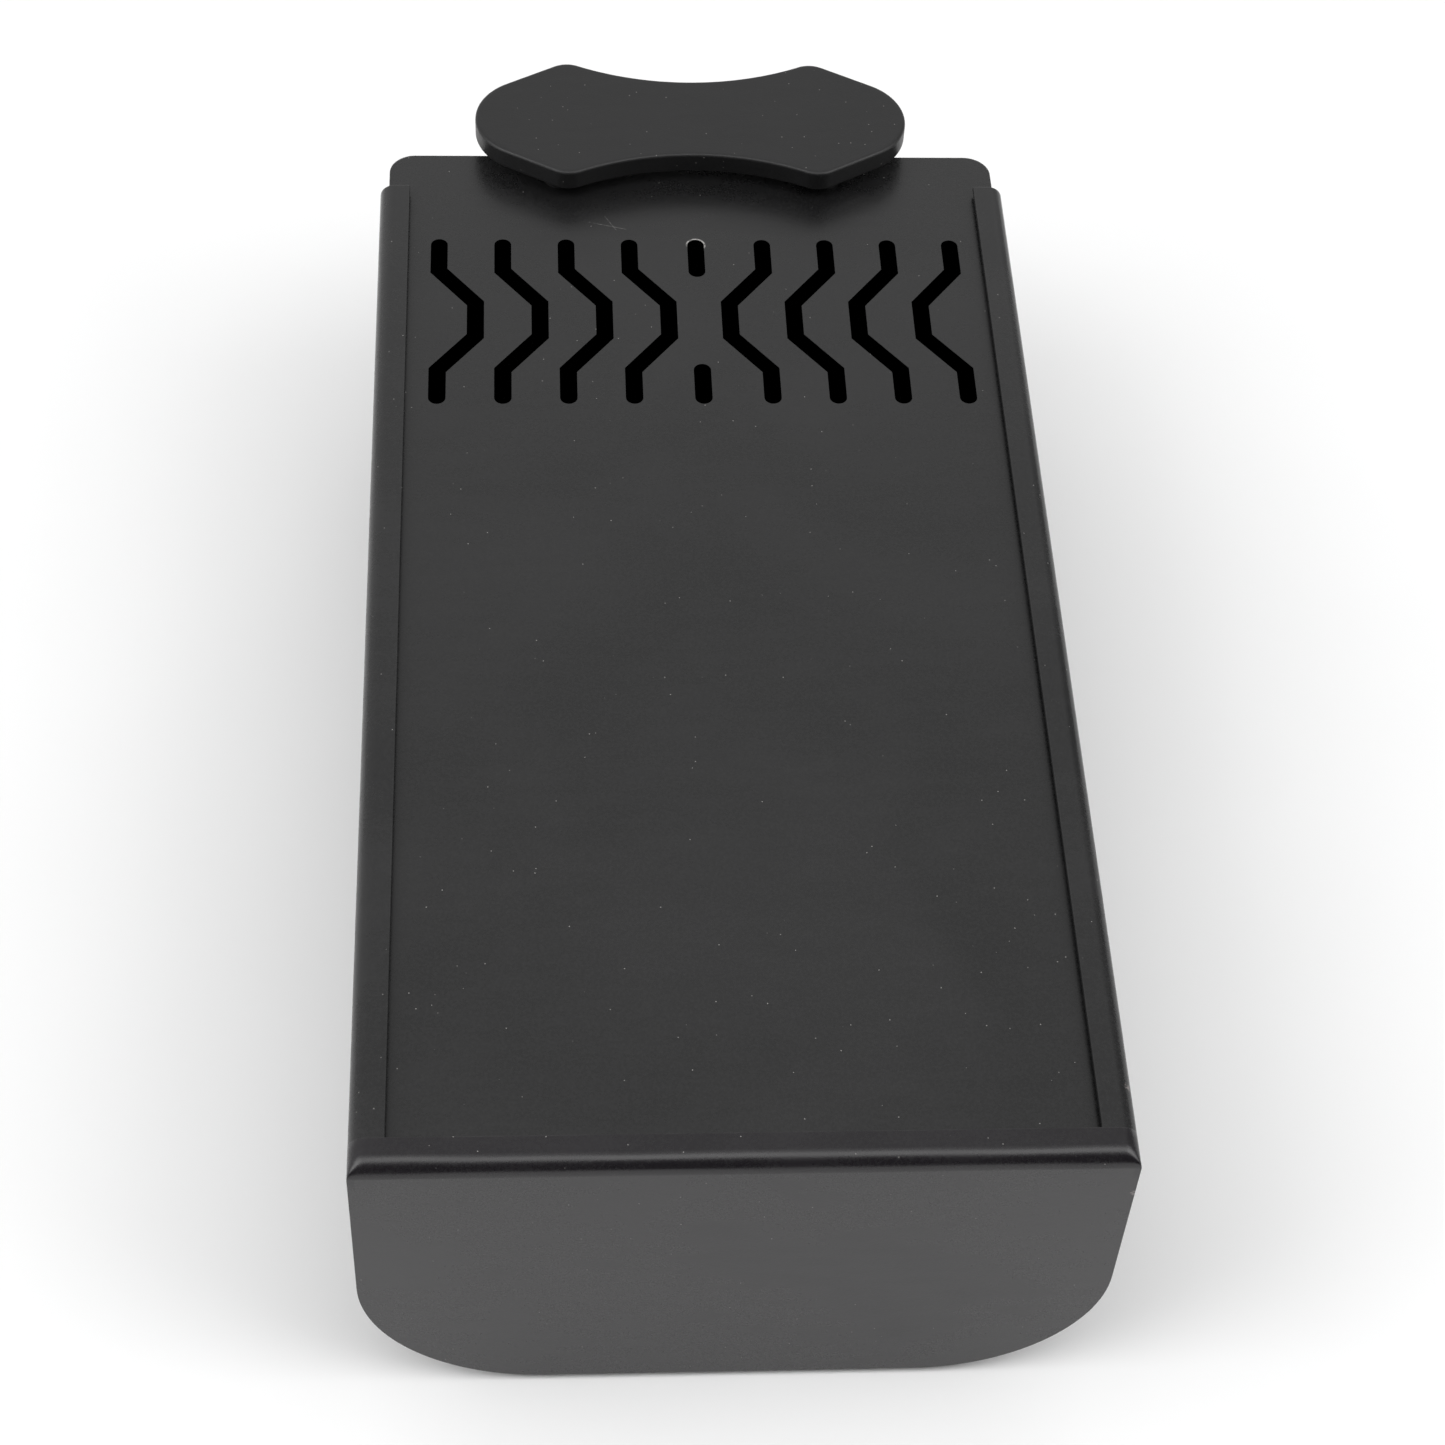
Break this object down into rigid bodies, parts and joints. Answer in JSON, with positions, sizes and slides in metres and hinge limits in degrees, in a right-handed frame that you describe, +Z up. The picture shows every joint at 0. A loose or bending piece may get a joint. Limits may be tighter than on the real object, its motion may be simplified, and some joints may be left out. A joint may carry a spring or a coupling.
{
  "type": "napkin dispenser",
  "caption": "Folded sheet-metal countertop box for napkins with a flat lid that slides out of its rear end, a raised bow-tie pull plate and zigzag vent slots.",
  "frame": {"origin": "under the middle of the whole object's bounding box, on the surface that the feet stand on", "axes": "+Z up, +Y along the length towards the handle end, which is the way the lid pulls out, +X to the right when seen from the closed front end"},
  "size_m": [0.1026, 0.214, 0.0611],
  "materials": {
    "box_coat": "satin black powder coat with a fine grain",
    "lid_coat": "satin black powder coat with a fine grain",
    "handle_plastic": "matte black with softly rounded edges",
    "spacer_coat": "matte black coat",
    "fixing_steel": "plain zinc-plated steel",
    "insert_brass": "plain machined brass",
    "foot_rubber": "matte black rubber"
  },
  "bodies": {
    "box": {"trough": "box_coat", "front_plate": "box_coat", "rear_plate": "box_coat", "left_rail": "box_coat", "right_rail": "box_coat", "front_left_foot": "foot_rubber", "front_right_foot": "foot_rubber", "rear_left_foot": "foot_rubber", "rear_right_foot": "foot_rubber"},
    "sliding_lid": {"lid": "lid_coat", "pull_handle": "handle_plastic", "left_spacer": "spacer_coat", "right_spacer": "spacer_coat", "left_screw": "fixing_steel", "right_screw": "fixing_steel", "left_washer": "fixing_steel", "right_washer": "fixing_steel", "left_insert": "insert_brass", "right_insert": "insert_brass"}
  },
  "joints": [
    {"name": "lid_slide", "type": "slide", "parent": "box", "child": "sliding_lid", "axis": [0, 1, 0], "range_m": [0, 0.2]}
  ]
}
